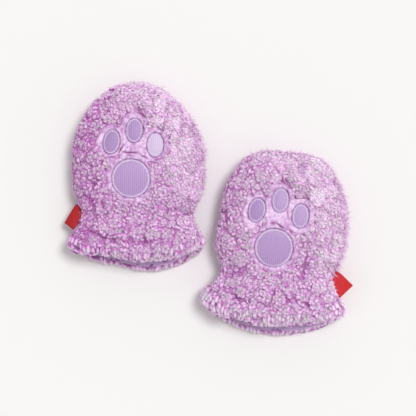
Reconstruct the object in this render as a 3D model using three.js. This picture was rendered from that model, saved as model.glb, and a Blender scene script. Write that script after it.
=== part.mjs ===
import * as THREE from "three";

// A pair of baby mittens, laid flat side by side with the paws up. Each is cut from curly
// pile fleece as a front and a back, lined with smooth knit, drawn in at the wrist, and
// flares into a wide open cuff. A paw of four fabric pads is sewn to the front, in pile that
// the sewing presses flat, and a folded label is caught in one side seam.
//
// Millimetres. +X points right, +Y towards the finger ends and +Z up from the table. A
// mitten's own frame has its hem's middle at Y 0, its middle line at X 0 and the table at Z 0.

// Sizes of the cloth
const SEAM_HEIGHT = 13;
const SEAM_GAP = 0.3;
const LAYER_GAP = 0.3;
const PILE_FRONT = 6.5;
const PILE_BACK = 5.5;
const PILE_SIDE = 6;
const LINING_THICK = 1;
const LINING_SHY = 2.6;
const HEM_ROUND = 3.2;
const BACK_DIP = 1.4;
const FRONT_ROUND = 2.5;
const BACK_ROUND = 3;
const DOME_ROUND = 2;
const DOME_CROWN = 2.4;
const BOW_SHARE = 0.98;

// The mitten from hem to fingers, a row for each place along its middle line. half is half its
// width at the side seams, top the front's height, under the back's height over the table,
// bow how far the seams run ahead of the middle, and set how far the front's hem is set back.
const SECTIONS = [
  { name: "hem", along: 0, half: 44.9, top: 24.4, under: 0, bow: 18.5, set: 6.8 },
  { name: "roll", along: 7, half: 45.2, top: 27, under: 0, bow: 15.5, set: 5.2 },
  { name: "cuff", along: 17, half: 42, top: 26.8, under: 0, bow: 11, set: 3 },
  { name: "flare", along: 28, half: 38.4, top: 25.6, under: 0.6, bow: 6, set: 1.2 },
  { name: "wrist", along: 39, half: 36.8, top: 24.6, under: 1.2, bow: 1.2, set: 0 },
  { name: "heel", along: 50, half: 41.4, top: 29, under: 0.3, bow: 0, set: 0 },
  { name: "palm", along: 62, half: 43.8, top: 32.2, under: 0, bow: 0, set: 0 },
  { name: "middle", along: 76, half: 43.5, top: 33, under: 0, bow: 0, set: 0 },
  { name: "fingers", along: 130, half: 43.5, top: 33, under: 0, bow: 0, set: 0 },
];

// Soft troughs where the wrist's elastic gathers the cloth, from low to high along the mitten
const GATHERS = [
  { side: "front", across: -31, low: 24, high: 47, deep: 1.5, wide: 2.6, lean: 3 },
  { side: "front", across: -22, low: 28, high: 60, deep: 2.1, wide: 2.4, lean: 3 },
  { side: "front", across: -11, low: 30, high: 46, deep: 1.2, wide: 2.2, lean: 1 },
  { side: "front", across: -1, low: 26, high: 44, deep: 1.5, wide: 2.6, lean: 0 },
  { side: "front", across: 10, low: 29, high: 48, deep: 1.3, wide: 2.2, lean: -1 },
  { side: "front", across: 19, low: 27, high: 62, deep: 2.1, wide: 2.6, lean: -2 },
  { side: "front", across: 29, low: 31, high: 50, deep: 1.4, wide: 2.4, lean: -3 },
  { side: "back", across: -25, low: 26, high: 52, deep: 1.3, wide: 3.4, lean: 3 },
  { side: "back", across: -9, low: 29, high: 48, deep: 1.1, wide: 3.6, lean: 1 },
  { side: "back", across: 8, low: 25, high: 50, deep: 1.4, wide: 3.4, lean: -1 },
  { side: "back", across: 24, low: 30, high: 54, deep: 1.2, wide: 3.6, lean: -3 },
];

// The trough that the hem's own sewing leaves across the front of the cuff
const HEM_SEAM = { along: 15.5, wide: 2.4, deep: 1.7 };

// The paw, from the middle of its large pad. wide and long are whole sizes, and lean is degrees.
const PADS = [
  { name: "pad", across: 0, along: 0, wide: 25.8, long: 25.8, lean: 0, margin: 2.4 },
  { name: "toe_1", across: -14.3, along: 22.8, wide: 11.4, long: 16.4, lean: 6, margin: 3 },
  { name: "toe_2", across: 0, along: 31.2, wide: 11.4, long: 16.4, lean: 0, margin: 3 },
  { name: "toe_3", across: 14.3, along: 22.8, wide: 11.4, long: 16.4, lean: -1, margin: 3 },
];
const PAW_LEAN = 2.9;
const PAW_OFF_MIDDLE = -4.1;
const PRESSED_DEPTH = 3;
const PRESSED_EDGE = 2.6;

// A pad's own section, from the middle of its underside round its rim to the middle of its top.
// share is of the way out to the rim, and lift is over the cloth that it is sewn to.
const PAD_SECTION = [
  { share: 0.5, lift: 0 },
  { share: 0.95, lift: 0 },
  { share: 1, lift: 0.5 },
  { share: 0.94, lift: 1.1 },
  { share: 0.5, lift: 1.4 },
];
const PAD_CROWN = 1.5;

// The label's four corners on the side that is its own, before the side's sign. The root is
// caught in the seam, and the seam opens round it.
const LABEL_ROOT = { low: [40.2, 25.6], high: [33.6, 39.6] };
const LABEL_THICK = 1.2;
const LABEL_SLIT = { low: 18.5, high: 50.5, fade: 4, half: 1.2 };

// How each mitten lies, a row for each. pad is the place of its large pad on the table, turn is
// degrees clockwise, and cuff stretches the part below the palm.
const LAYS = [
  {
    name: "left", pad: [-50.2, 19.3], turn: 1.2, length: 125.6, dome: 49.5, cuff: 1, paw: 61.6,
    side: -1, labelLow: [48.2, 31.4], labelHigh: [40.6, 44.7], labelRise: -3.5,
  },
  {
    name: "right", pad: [42.9, -25.9], turn: 4.8, length: 122.4, dome: 43.5, cuff: 1.05, paw: 58.2,
    side: 1, labelLow: [50.6, 37.4], labelHigh: [38.5, 47.6], labelRise: 2,
  },
];

// Where a mitten's cloth lies off the even form. at is a place on its own plan, reach is how far
// round it the cloth is drawn, and move is how far it is drawn in the middle.
const MOVES = {
  left: [
    { name: "finger end, right", at: [24, 116], reach: 42, move: [-4.2, 0] },
    { name: "hem, left half", at: [-20, 2], reach: 34, move: [0, 3.6] },
    { name: "cuff, right corner", at: [44, 13], reach: 20, move: [-0.8, 1.8] },
  ],
  right: [
    { name: "finger end, right", at: [26, 118], reach: 24, move: [0.6, 3.2] },
    { name: "finger end, left", at: [-24, 119], reach: 24, move: [-0.4, 3.2] },
    { name: "left flank", at: [-46, 78], reach: 34, move: [3.4, 0] },
    { name: "cuff, left corner", at: [-44, 25], reach: 20, move: [-3, 0.6] },
  ],
};

// How finely each skin is divided
const FINE = { cuffRows: 9, pawRows: 21, tipRows: 5, sideColumns: 4, topColumns: 24 };
const PLAIN = { cuffRows: 4, pawRows: 5, tipRows: 3, sideColumns: 3, topColumns: 6 };
const UNDER = { cuffRows: 5, pawRows: 7, tipRows: 4, sideColumns: 4, topColumns: 12 };
const CUFF_END = 42;
const PAW_END = 104;
const TOP_SHARE = 0.86;
const PAD_SPOKES = 26;
const TOE_SPOKES = 18;

const FLEECE = new THREE.MeshStandardMaterial({ color: 0xdcb6df, roughness: 0.95, metalness: 0 });
const KNIT = new THREE.MeshStandardMaterial({ color: 0xb698cc, roughness: 0.8, metalness: 0 });
const PAD_CLOTH = new THREE.MeshStandardMaterial({ color: 0xb99acb, roughness: 0.6, metalness: 0 });
const LABEL_CLOTH = new THREE.MeshStandardMaterial({ color: 0xd8323a, roughness: 0.7, metalness: 0 });

const clamp01 = (value) => Math.min(1, Math.max(0, value));
const mix = (from, to, share) => from + (to - from) * share;
const soft = (share) => clamp01(share) ** 2 * (3 - 2 * clamp01(share));
const evenly = (from, to, count) =>
  Array.from({ length: count }, (_, step) => mix(from, to, (step + 1) / count));

// A column of the section table at any place along, smooth through its rows
function sectionValue(column, along) {
  const last = SECTIONS.length - 2;
  const row = Math.min(last, Math.max(0, SECTIONS.findIndex((s) => s.along > along) - 1));
  const [a, b] = [SECTIONS[row], SECTIONS[row + 1]];
  const before = SECTIONS[Math.max(0, row - 1)];
  const after = SECTIONS[Math.min(last + 1, row + 2)];
  const span = b.along - a.along;
  const slopeA = (b[column] - before[column]) / (b.along - before.along);
  const slopeB = (after[column] - a[column]) / (after.along - a.along);
  const s = clamp01((along - a.along) / span);
  const curve = (2 * s ** 3 - 3 * s ** 2 + 1) * a[column] + (3 * s ** 2 - 2 * s ** 3) * b[column];
  return curve + span * ((s ** 3 - 2 * s ** 2 + s) * slopeA + (s ** 3 - s ** 2) * slopeB);
}

// How much of a size is left this far along the rounded finger end
function domeShare(lay, along, inset, power) {
  const start = lay.length - lay.dome;
  const part = clamp01((along - start) / (lay.dome - inset));
  return (1 - part ** power) ** (1 / power);
}

// A place on the mitten's even plan, drawn to where the cloth lies
function drawn(lay, x, y) {
  return MOVES[lay.name].reduce(([a, b], { at, reach, move }) => {
    const share = soft(1 - Math.hypot(x - at[0], y - at[1]) / reach);
    return [a + move[0] * share, b + move[1] * share];
  }, [x, y]);
}

// The mitten's sizes at a place along, with its walls moved inwards by the insets
function sizesAt(lay, along, sideInset, riseInset) {
  const at = along / lay.cuff;
  const wide = (sectionValue("half", at) - sideInset) * domeShare(lay, along, sideInset, DOME_ROUND);
  const crown = domeShare(lay, along, sideInset, DOME_CROWN);
  return {
    half: wide,
    rise: (sectionValue("top", at) - SEAM_HEIGHT - riseInset) * crown,
    drop: (SEAM_HEIGHT + BACK_DIP - riseInset) * crown,
    floor: Math.max(0, sectionValue("under", at)) + riseInset,
    bow: sectionValue("bow", at),
    set: sectionValue("set", at),
  };
}

// The seam opens round the label's root, on the label's side only
function seamHalfGap(lay, x, y) {
  if (x * lay.side <= 0) return SEAM_GAP / 2;
  const { low, high, fade, half } = LABEL_SLIT;
  const open = soft((y - low) / fade) * soft((high - y) / fade);
  return SEAM_GAP / 2 + open * (half - SEAM_GAP / 2);
}

// Turns a place on the mitten's plan into a place on the paw, from its large pad's middle
function onPaw(lay, x, y) {
  const lean = THREE.MathUtils.degToRad(PAW_LEAN);
  const [dx, dy] = [x - PAW_OFF_MIDDLE, y - lay.paw];
  return [dx * Math.cos(lean) - dy * Math.sin(lean), dx * Math.sin(lean) + dy * Math.cos(lean)];
}

// How far a place on the paw is outside a pad's edge
function outsidePad(pad, across, along) {
  const lean = THREE.MathUtils.degToRad(pad.lean);
  const [dx, dy] = [across - pad.across, along - pad.along];
  const x = (dx * Math.cos(lean) - dy * Math.sin(lean)) / (pad.wide / 2);
  const y = (dx * Math.sin(lean) + dy * Math.cos(lean)) / (pad.long / 2);
  return (Math.hypot(x, y) - 1) * ((pad.wide + pad.long) / 4);
}

// Depth of the pressed pile round the paw's pads
function pressedDepth(lay, x, y) {
  const [across, along] = onPaw(lay, x, y);
  const depths = PADS.map((pad) => {
    const out = outsidePad(pad, across, along) - pad.margin;
    return PRESSED_DEPTH * (1 - soft(out / PRESSED_EDGE));
  });
  return Math.max(...depths);
}

// Depth of the wrist's gathers on one side of the mitten
function gatherDepth(lay, side, x, y) {
  return GATHERS.filter((fold) => fold.side === side).reduce((sum, fold) => {
    const part = (y / lay.cuff - fold.low) / (fold.high - fold.low);
    const middle = fold.across + fold.lean * (0.5 - part);
    const along = Math.sin(Math.PI * clamp01(part));
    return sum + fold.deep * along * Math.exp(-(((x - middle) / fold.wide) ** 2));
  }, 0);
}

// Depth of the trough that the hem's sewing leaves
function hemSeamDepth(lay, along) {
  return HEM_SEAM.deep * Math.exp(-(((along / lay.cuff - HEM_SEAM.along) / HEM_SEAM.wide) ** 2));
}

// The pile rounds over at the hem's edge
function hemRound(along) {
  const left = clamp01(1 - along / HEM_ROUND);
  return HEM_ROUND * (1 - Math.sqrt(1 - left ** 2));
}

const superCosine = (turn, power) => Math.sign(Math.cos(turn)) * Math.abs(Math.cos(turn)) ** (2 / power);
const superSine = (turn, power) => Math.abs(Math.sin(turn)) ** (2 / power);

// A point of the mitten's front or back. turn runs from the left seam at pi to the right at 0.
function clothPoint(lay, side, along, turn, sideInset, riseInset) {
  const power = side === "front" ? FRONT_ROUND : BACK_ROUND;
  const sizes = sizesAt(lay, along, sideInset, riseInset);
  const share = superCosine(turn, power);
  const lift = superSine(turn, power);
  const x = sizes.half * share;
  const bow = sizes.bow * (1 - Math.sqrt(1 - BOW_SHARE * share ** 2));
  const y = clothAlong(lay, along, sideInset) + bow + (side === "front" ? sizes.set * lift : 0);
  const gap = seamHalfGap(lay, x, y);
  const place = drawn(lay, x, y);
  if (side === "front") return new THREE.Vector3(...place, SEAM_HEIGHT + gap + (sizes.rise - gap) * lift);
  const z = SEAM_HEIGHT - gap - (sizes.drop - gap) * lift;
  return new THREE.Vector3(...place, Math.max(z, sizes.floor));
}

// Inner walls end sooner at the fingers, by the wall's thickness
function clothAlong(lay, along, sideInset) {
  return Math.min(along, lay.length - sideInset);
}

// The front's outer skin, with the paw's pressed pile, the gathers and the hem's sewing
function frontSkin(lay, along, turn) {
  const bare = clothPoint(lay, "front", along, turn, 0, 0);
  const edge = Math.abs(superSine(turn, FRONT_ROUND));
  const folds = gatherDepth(lay, "front", bare.x, bare.y) + hemSeamDepth(lay, along);
  const depth = pressedDepth(lay, bare.x, bare.y) + folds * soft(edge * 2) + hemRound(along);
  return clothPoint(lay, "front", along, turn, depth, depth);
}

// The back's outer skin, flat where it rests
function backSkin(lay, along, turn) {
  const bare = clothPoint(lay, "back", along, turn, 0, 0);
  const edge = Math.abs(superSine(turn, BACK_ROUND));
  const folds = gatherDepth(lay, "back", bare.x, bare.y) * soft(edge * 2);
  const point = clothPoint(lay, "back", along, turn, hemRound(along), 0);
  return point.setZ(point.z + folds + hemRound(along) * edge);
}

// Places along the mitten for the rows of a skin
function stations(lay, fineness, inset, start = 0) {
  const end = lay.length - inset;
  const domeStart = lay.length - lay.dome;
  const angle = Math.asin((PAW_END - domeStart) / (lay.dome - inset));
  const tip = evenly(angle, Math.PI / 2, fineness.tipRows);
  const rim = fineness === FINE || fineness === UNDER ? [0.9, 2.2, 4.2] : [4.2];
  return [
    start,
    ...rim,
    ...evenly(4.2, CUFF_END, fineness.cuffRows),
    ...evenly(CUFF_END, PAW_END, fineness.pawRows),
    ...tip.map((a) => Math.min(end, domeStart + (lay.dome - inset) * Math.sin(a))),
  ];
}

// Turns round the half section for the columns of a skin: even across the top, then the sides
function turnsOf(fineness, power) {
  const edge = Math.acos(TOP_SHARE ** (power / 2));
  const left = evenly(Math.PI, Math.PI - edge, fineness.sideColumns);
  const top = evenly(-TOP_SHARE, TOP_SHARE, fineness.topColumns).map((share) =>
    Math.acos(Math.sign(share) * Math.abs(share) ** (power / 2)));
  return [Math.PI, ...left, ...top, ...evenly(edge, 0, fineness.sideColumns)];
}

// A skin's rows of points. The last row is the one point at the finger end.
function skin(lay, side, fineness, inset, place, start) {
  const turns = turnsOf(fineness, side === "front" ? FRONT_ROUND : BACK_ROUND);
  const alongs = stations(lay, fineness, inset, start);
  return alongs.map((along, row) =>
    row === alongs.length - 1 ? [place(along, Math.PI / 2)] : turns.map((turn) => place(along, turn)));
}

// Triangles of a skin that faces up, each a list of three points
function skinFaces(rows) {
  const faces = [];
  for (let i = 0; i < rows.length - 1; i += 1) {
    const [near, far] = [rows[i], rows[i + 1]];
    for (let j = 0; j < near.length - 1; j += 1) {
      if (far.length === 1) faces.push([near[j], near[j + 1], far[0]]);
      else faces.push([near[j], near[j + 1], far[j + 1]], [near[j], far[j + 1], far[j]]);
    }
  }
  return faces;
}

// Triangles between two edges that start and end level, whatever the number of their points
function stripFaces(a, b) {
  const faces = [];
  let [i, j] = [0, 0];
  while (i < a.length - 1 || j < b.length - 1) {
    const stepA = (i + 1) / (a.length - 1);
    const stepB = (j + 1) / (b.length - 1);
    if (j === b.length - 1 || (i < a.length - 1 && stepA <= stepB)) {
      faces.push([a[i], a[i + 1], b[j]]);
      i += 1;
    } else {
      faces.push([a[i], b[j + 1], b[j]]);
      j += 1;
    }
  }
  return faces;
}

const leftEdge = (rows) => rows.map((row) => row[0]);
const rightEdge = (rows) => rows.map((row) => row[row.length - 1]);
const turnedOver = (faces) => faces.map(([a, b, c]) => [a, c, b]);

// A closed wall of cloth between an upper and a lower skin
function wallFaces(upper, lower) {
  return [
    ...skinFaces(upper),
    ...turnedOver(skinFaces(lower)),
    ...stripFaces(lower[0], upper[0]),
    ...stripFaces(rightEdge(lower), rightEdge(upper)),
    ...stripFaces(leftEdge(upper), leftEdge(lower)),
  ];
}

function meshOf(name, faces, material) {
  const geometry = new THREE.BufferGeometry().setFromPoints(faces.flat());
  geometry.computeVertexNormals();
  const mesh = new THREE.Mesh(geometry, material);
  mesh.name = name;
  return mesh;
}

function frontPanel(lay) {
  const outer = skin(lay, "front", FINE, 0, (along, turn) => frontSkin(lay, along, turn));
  const inner = skin(lay, "front", PLAIN, PILE_SIDE, (along, turn) =>
    clothPoint(lay, "front", along, turn, PILE_SIDE, PILE_FRONT));
  return meshOf(`${lay.name}_front`, wallFaces(outer, inner), FLEECE);
}

function backPanel(lay) {
  const outer = skin(lay, "back", UNDER, 0, (along, turn) => backSkin(lay, along, turn));
  const inner = skin(lay, "back", PLAIN, PILE_SIDE, (along, turn) =>
    clothPoint(lay, "back", along, turn, PILE_SIDE, PILE_BACK));
  return meshOf(`${lay.name}_back`, wallFaces(inner, outer), FLEECE);
}

// The lining follows the inside of the fleece, and stops just short of the hem
function liningSkin(lay, side, depth) {
  const sideInset = PILE_SIDE + LAYER_GAP + depth;
  const riseInset = (side === "front" ? PILE_FRONT : PILE_BACK) + LAYER_GAP + depth;
  const place = (along, turn) => clothPoint(lay, side, along, turn, sideInset, riseInset);
  return skin(lay, side, PLAIN, sideInset, place, LINING_SHY);
}

function lining(lay, side) {
  const shells = [liningSkin(lay, side, 0), liningSkin(lay, side, LINING_THICK)];
  const [upper, lower] = side === "front" ? shells : shells.reverse();
  return meshOf(`${lay.name}_lining_${side}`, wallFaces(upper, lower), KNIT);
}

// Height of the pressed pile at a place on the mitten's plan, inside the paw
function pressedHeight(lay, x, y) {
  const [far, high] = drawn(lay, x, y);
  const [evenX, evenY] = [2 * x - far, 2 * y - high];
  const sizes = sizesAt(lay, evenY, PRESSED_DEPTH, PRESSED_DEPTH);
  return SEAM_HEIGHT + sizes.rise * (1 - Math.abs(evenX / sizes.half) ** FRONT_ROUND) ** (1 / FRONT_ROUND);
}

// A point on a pad: turn goes round it, share out to its rim, and lift is over the cloth
function padPoint(lay, pad, turn, share, lift) {
  const lean = THREE.MathUtils.degToRad(-pad.lean);
  const [a, b] = [(pad.wide / 2) * share * Math.cos(turn), (pad.long / 2) * share * Math.sin(turn)];
  const across = pad.across + a * Math.cos(lean) - b * Math.sin(lean);
  const along = pad.along + a * Math.sin(lean) + b * Math.cos(lean);
  const paw = THREE.MathUtils.degToRad(-PAW_LEAN);
  const x = PAW_OFF_MIDDLE + across * Math.cos(paw) - along * Math.sin(paw);
  const y = lay.paw + across * Math.sin(paw) + along * Math.cos(paw);
  return new THREE.Vector3(x, y, pressedHeight(lay, x, y) + LAYER_GAP + lift);
}

function pawPad(lay, pad) {
  const spokes = pad.name === "pad" ? PAD_SPOKES : TOE_SPOKES;
  const turns = [...Array(spokes).keys()].map((step) => (step / spokes) * 2 * Math.PI);
  const rings = PAD_SECTION.map(({ share, lift }) =>
    [...turns, 0].map((turn) => padPoint(lay, pad, turn, share, lift)));
  const bottom = padPoint(lay, pad, 0, 0, 0);
  const top = padPoint(lay, pad, 0, 0, PAD_CROWN);
  const rows = rings.map((ring) => [...ring.slice(0, -1), ring[0]]);
  const faces = [];
  for (let j = 0; j < spokes; j += 1) {
    faces.push([bottom, rows[0][j + 1], rows[0][j]]);
    faces.push([top, rows[rows.length - 1][j], rows[rows.length - 1][j + 1]]);
  }
  return meshOf(`${lay.name}_${pad.name}`, [...faces, ...skinFaces(rows)], PAD_CLOTH);
}

// The folded label: two layers pressed into one tab, its root in the seam and its end free
function label(lay) {
  const steps = 4;
  const spans = 4;
  const corner = ([x, y]) => new THREE.Vector2(x * lay.side, y);
  const [rootLow, rootHigh] = [corner(LABEL_ROOT.low), corner(LABEL_ROOT.high)];
  const [endLow, endHigh] = [corner(lay.labelLow), corner(lay.labelHigh)];
  const layer = (offset) => [...Array(steps + 1).keys()].map((i) => {
    const out = i / steps;
    const thin = i === steps ? 0.4 : 1;
    return [...Array(spans + 1).keys()].map((j) => {
      const up = j / spans;
      const root = rootLow.clone().lerp(rootHigh, up);
      const end = endLow.clone().lerp(endHigh, up);
      const place = root.lerp(end, out);
      const rise = lay.labelRise * out ** 3 * (1 - up);
      return new THREE.Vector3(place.x, place.y, SEAM_HEIGHT + rise + offset * thin);
    });
  });
  const [upper, lower] = [layer(LABEL_THICK / 2), layer(-LABEL_THICK / 2)];
  const faces = [
    ...turnedOver(skinFaces(upper)),
    ...skinFaces(lower),
    ...stripFaces(upper[0], lower[0]),
    ...stripFaces(lower[steps], upper[steps]),
    ...stripFaces(lower.map((row) => row[0]), upper.map((row) => row[0])),
    ...stripFaces(upper.map((row) => row[spans]), lower.map((row) => row[spans])),
  ];
  return meshOf(`${lay.name}_label`, lay.side > 0 ? faces : turnedOver(faces), LABEL_CLOTH);
}

// One whole mitten, set down where it lies on the table
function mitten(lay) {
  const whole = new THREE.Group();
  whole.add(frontPanel(lay), backPanel(lay), lining(lay, "front"), lining(lay, "back"));
  whole.add(...PADS.map((pad) => pawPad(lay, pad)), label(lay));
  whole.rotation.z = THREE.MathUtils.degToRad(-lay.turn);
  const pad = new THREE.Vector3(PAW_OFF_MIDDLE, lay.paw, 0).applyEuler(whole.rotation);
  whole.position.set(lay.pad[0] - pad.x, lay.pad[1] - pad.y, 0);
  return whole;
}

// The pair, with the middle of its outline on the table as the origin
const pair = new THREE.Group();
pair.add(...LAYS.map(mitten));
const outline = new THREE.Box3().setFromObject(pair, true).getCenter(new THREE.Vector3());
pair.position.set(-outline.x, -outline.y, 0);

export default pair;
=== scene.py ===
# %% [markdown]
# # A pair of baby mittens in curly fleece
#
# The solids give the mittens their true form: a front and a back of thick fleece, a lining bag, the paw's
# pads and a folded side label. This lesson dresses them. Each cloth becomes a shell with its creases, the
# fleece grows its pile lock by lock, and the paw gets its stitched rims.

# %% Load the frame
import math

import bmesh
import bpy
import numpy as np
from mathutils import Matrix, Vector
from mathutils.kdtree import KDTree


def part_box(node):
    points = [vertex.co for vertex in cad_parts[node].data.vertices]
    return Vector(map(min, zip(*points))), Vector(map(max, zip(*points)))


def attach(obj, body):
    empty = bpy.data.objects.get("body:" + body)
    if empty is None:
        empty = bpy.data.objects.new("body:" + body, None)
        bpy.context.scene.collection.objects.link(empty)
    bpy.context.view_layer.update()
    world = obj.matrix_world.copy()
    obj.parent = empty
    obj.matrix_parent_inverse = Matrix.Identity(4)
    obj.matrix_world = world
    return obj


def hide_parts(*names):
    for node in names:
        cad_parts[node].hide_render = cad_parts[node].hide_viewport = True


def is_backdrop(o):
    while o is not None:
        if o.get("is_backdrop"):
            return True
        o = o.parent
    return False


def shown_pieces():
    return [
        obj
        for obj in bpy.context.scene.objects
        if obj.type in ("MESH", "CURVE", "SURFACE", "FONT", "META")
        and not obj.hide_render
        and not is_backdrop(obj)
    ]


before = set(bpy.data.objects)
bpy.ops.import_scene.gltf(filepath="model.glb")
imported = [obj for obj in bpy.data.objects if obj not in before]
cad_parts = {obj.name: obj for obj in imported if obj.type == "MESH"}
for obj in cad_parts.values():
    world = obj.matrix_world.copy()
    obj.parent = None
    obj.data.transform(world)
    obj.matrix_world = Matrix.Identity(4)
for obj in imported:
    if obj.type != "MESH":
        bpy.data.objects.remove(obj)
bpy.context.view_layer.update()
MM = 0.001

# %% [markdown]
# ## Where each mitten lies
#
# Sizes below are in a mitten's own plan, in millimetres from the middle of its large pad, with across to the
# right and along towards the finger end. Each mitten is turned a little on the table. Its hem lies below the
# pad and its tip above.

# %% Plan of the pair
MITTENS = {
    "left": {"turn": 1.2, "hem": -61.6, "tip": 64.0, "middle": 4.1, "outer": -1},
    "right": {"turn": 4.8, "hem": -58.2, "tip": 64.2, "middle": 4.1, "outer": 1},
}
SEAM_HEIGHT = 13.0
TOES = ("toe_1", "toe_2", "toe_3")


def box_middle(node):
    """The middle of a solid's box, in metres."""
    low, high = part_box(node)
    return (Vector(low) + Vector(high)) / 2


def turned(x, y, degrees):
    """Turns x and y by degrees about the height, anticlockwise from above."""
    turn = math.radians(degrees)
    return x * math.cos(turn) - y * math.sin(turn), x * math.sin(turn) + y * math.cos(turn)


def to_plan(side, places):
    """Turns places in metres into across, along and height in millimetres, on a mitten's own plan."""
    pad = np.array(box_middle(f"{side}_pad"))
    x, y = (places[:, 0] - pad[0]) / MM, (places[:, 1] - pad[1]) / MM
    return np.column_stack([*turned(x, y, MITTENS[side]["turn"]), places[:, 2] / MM])


def from_plan(side, plan):
    """Turns across, along and height in millimetres back into places in metres."""
    pad = np.array(box_middle(f"{side}_pad"))
    x, y = turned(plan[:, 0], plan[:, 1], -MITTENS[side]["turn"])
    return np.column_stack([pad[0] + x * MM, pad[1] + y * MM, plan[:, 2] * MM])


def direction_from_plan(side, across, along, up):
    """Turns a direction on a mitten's own plan into one in the row's frame."""
    return np.array([*turned(across, along, -MITTENS[side]["turn"]), up])


for side in MITTENS:
    print(side, "pad's middle in mm:", tuple(round(v / MM, 1) for v in box_middle(f"{side}_pad")))

# %% [markdown]
# ## Camera
#
# The photo looks straight down. A long lens from high up keeps the two mittens' sides out of sight, and the
# frame is 416 pixels of 0.66 mm at the height of the side seams, where the outline is widest.

# %% Camera
FRAME_WIDTH = 416 * 0.66 * MM
CAMERA_HEIGHT = 1.2
PHOTO_MIDDLE = (-0.37 * MM, 0.68 * MM)

camera_data = bpy.data.cameras.new("camera")
camera_data.sensor_width = 36
camera_data.lens = camera_data.sensor_width * (CAMERA_HEIGHT - SEAM_HEIGHT * MM) / FRAME_WIDTH
camera_data.clip_start = 0.01
camera = bpy.data.objects.new("camera", camera_data)
camera.location = (*PHOTO_MIDDLE, CAMERA_HEIGHT)
bpy.context.collection.objects.link(camera)
bpy.context.scene.camera = camera
print("lens:", round(camera_data.lens, 1), "mm")

# %% [markdown]
# ## Floor and light
#
# The mittens lie on a pale surface in soft studio light. A broad sun from the upper right puts a short soft
# shadow along their left and lower edges, and a white world fills the rest.

# %% Floor and light
SUN_ANGLE = math.radians(20)
SUN_FROM = Vector((0.44, 0.37, 1.3))
SUN_POWER = 1.72
WORLD_POWER = 0.605


def srgb(red, green, blue):
    """A colour of 0 to 255, as a linear RGBA colour."""
    share = [value / 255 for value in (red, green, blue)]
    linear = [v / 12.92 if v <= 0.04045 else ((v + 0.055) / 1.055) ** 2.4 for v in share]
    return (*linear, 1.0)


def shown_as(name, mesh):
    """A new object that shows a mesh, shaded smooth."""
    mesh.polygons.foreach_set("use_smooth", [True] * len(mesh.polygons))
    made = bpy.data.objects.new(name, mesh)
    bpy.context.collection.objects.link(made)
    return made


def piece_from(name, work):
    """A new smooth object from a bmesh, which is used up."""
    mesh = bpy.data.meshes.new(name)
    work.to_mesh(mesh)
    work.free()
    return shown_as(name, mesh)


def add(tree, kind, inputs=None, **settings):
    """A new shader node, with its settings made and its inputs set or linked."""
    made = tree.nodes.new(kind)
    for name, value in settings.items():
        setattr(made, name, value)
    for name, value in (inputs or {}).items():
        socket = made.inputs[name]
        if isinstance(value, bpy.types.NodeSocket):
            tree.links.new(value, socket)
        else:
            socket.default_value = value
    return made


def new_material(name, **plain):
    """A new material, with plain values set on its Principled shader."""
    made = bpy.data.materials.new(name)
    made.use_nodes = True
    shader = made.node_tree.nodes["Principled BSDF"]
    for socket, value in plain.items():
        shader.inputs[socket.replace("_", " ")].default_value = value
    return made, made.node_tree, shader


def times_plus(tree, value, factor, more):
    """A node that multiplies a value by a factor and adds more to it; each may be a link or a number."""
    inputs = {0: value, 1: factor, 2: more}
    return add(tree, "ShaderNodeMath", inputs, operation="MULTIPLY_ADD").outputs[0]


def object_place(tree):
    """Object coordinates."""
    return add(tree, "ShaderNodeTexCoord").outputs["Object"]


def attribute(tree, name):
    """A number that the mesh carries at each of its points."""
    return add(tree, "ShaderNodeAttribute", attribute_name=name).outputs["Fac"]


def noise(tree, place, scale, detail, **more):
    """Noise over a place, from 0 to 1."""
    inputs = {"Vector": place, "Scale": scale, "Detail": detail, **more}
    return add(tree, "ShaderNodeTexNoise", inputs).outputs["Fac"]


def mixed(tree, factor, first, second):
    """Two colours mixed by a factor."""
    inputs = {"Factor": factor, 6: first, 7: second}
    return add(tree, "ShaderNodeMix", inputs, data_type="RGBA").outputs[2]


def ramp(tree, factor, stops):
    """A colour ramp through stops of (position, colour)."""
    made = add(tree, "ShaderNodeValToRGB", {"Fac": factor})
    band = made.color_ramp
    while len(band.elements) < len(stops):
        band.elements.new(0.5)
    for element, (position, colour) in zip(band.elements, stops):
        element.position = position
        element.color = colour
    return made.outputs["Color"]


def paint(tree, shader, factor, stops):
    """Gives a shader the base colour that a ramp makes of a factor."""
    tree.links.new(ramp(tree, factor, stops), shader.inputs["Base Color"])


def bump(tree, shader, height, strength, distance):
    """Feeds a height into the shader's normal."""
    made = add(tree, "ShaderNodeBump", {"Height": height, "Strength": strength, "Distance": distance})
    tree.links.new(made.outputs["Normal"], shader.inputs["Normal"])


floor_bm = bmesh.new()
bmesh.ops.create_grid(floor_bm, x_segments=1, y_segments=1, size=3.0)
floor = piece_from("floor", floor_bm)
floor_material, _, _ = new_material("pale floor", Base_Color=srgb(238, 237, 235), Roughness=0.9)
floor.data.materials.append(floor_material)
floor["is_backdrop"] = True

sun_data = bpy.data.lights.new("sun", "SUN")
sun_data.energy = SUN_POWER
sun_data.angle = SUN_ANGLE
sun = bpy.data.objects.new("sun", sun_data)
sun.rotation_euler = SUN_FROM.to_track_quat("Z", "Y").to_euler()
bpy.context.collection.objects.link(sun)

world = bpy.data.worlds.new("white studio")
world.use_nodes = True
world.node_tree.nodes["Background"].inputs["Color"].default_value = (1.0, 1.0, 1.0, 1.0)
world.node_tree.nodes["Background"].inputs["Strength"].default_value = WORLD_POWER
bpy.context.scene.world = world
bpy.context.scene.view_settings.view_transform = "Standard"
print("sun", SUN_POWER, "world", WORLD_POWER)

# %% [markdown]
# ## Where the pile is pressed flat
#
# Sewing a pad on presses the pile under and around it, so each pad sits in a smooth pale hollow. How pressed
# a place is follows from its distance to the nearest pad's edge. It could be painted by hand, but worked out
# from the pads it fits them.

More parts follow.
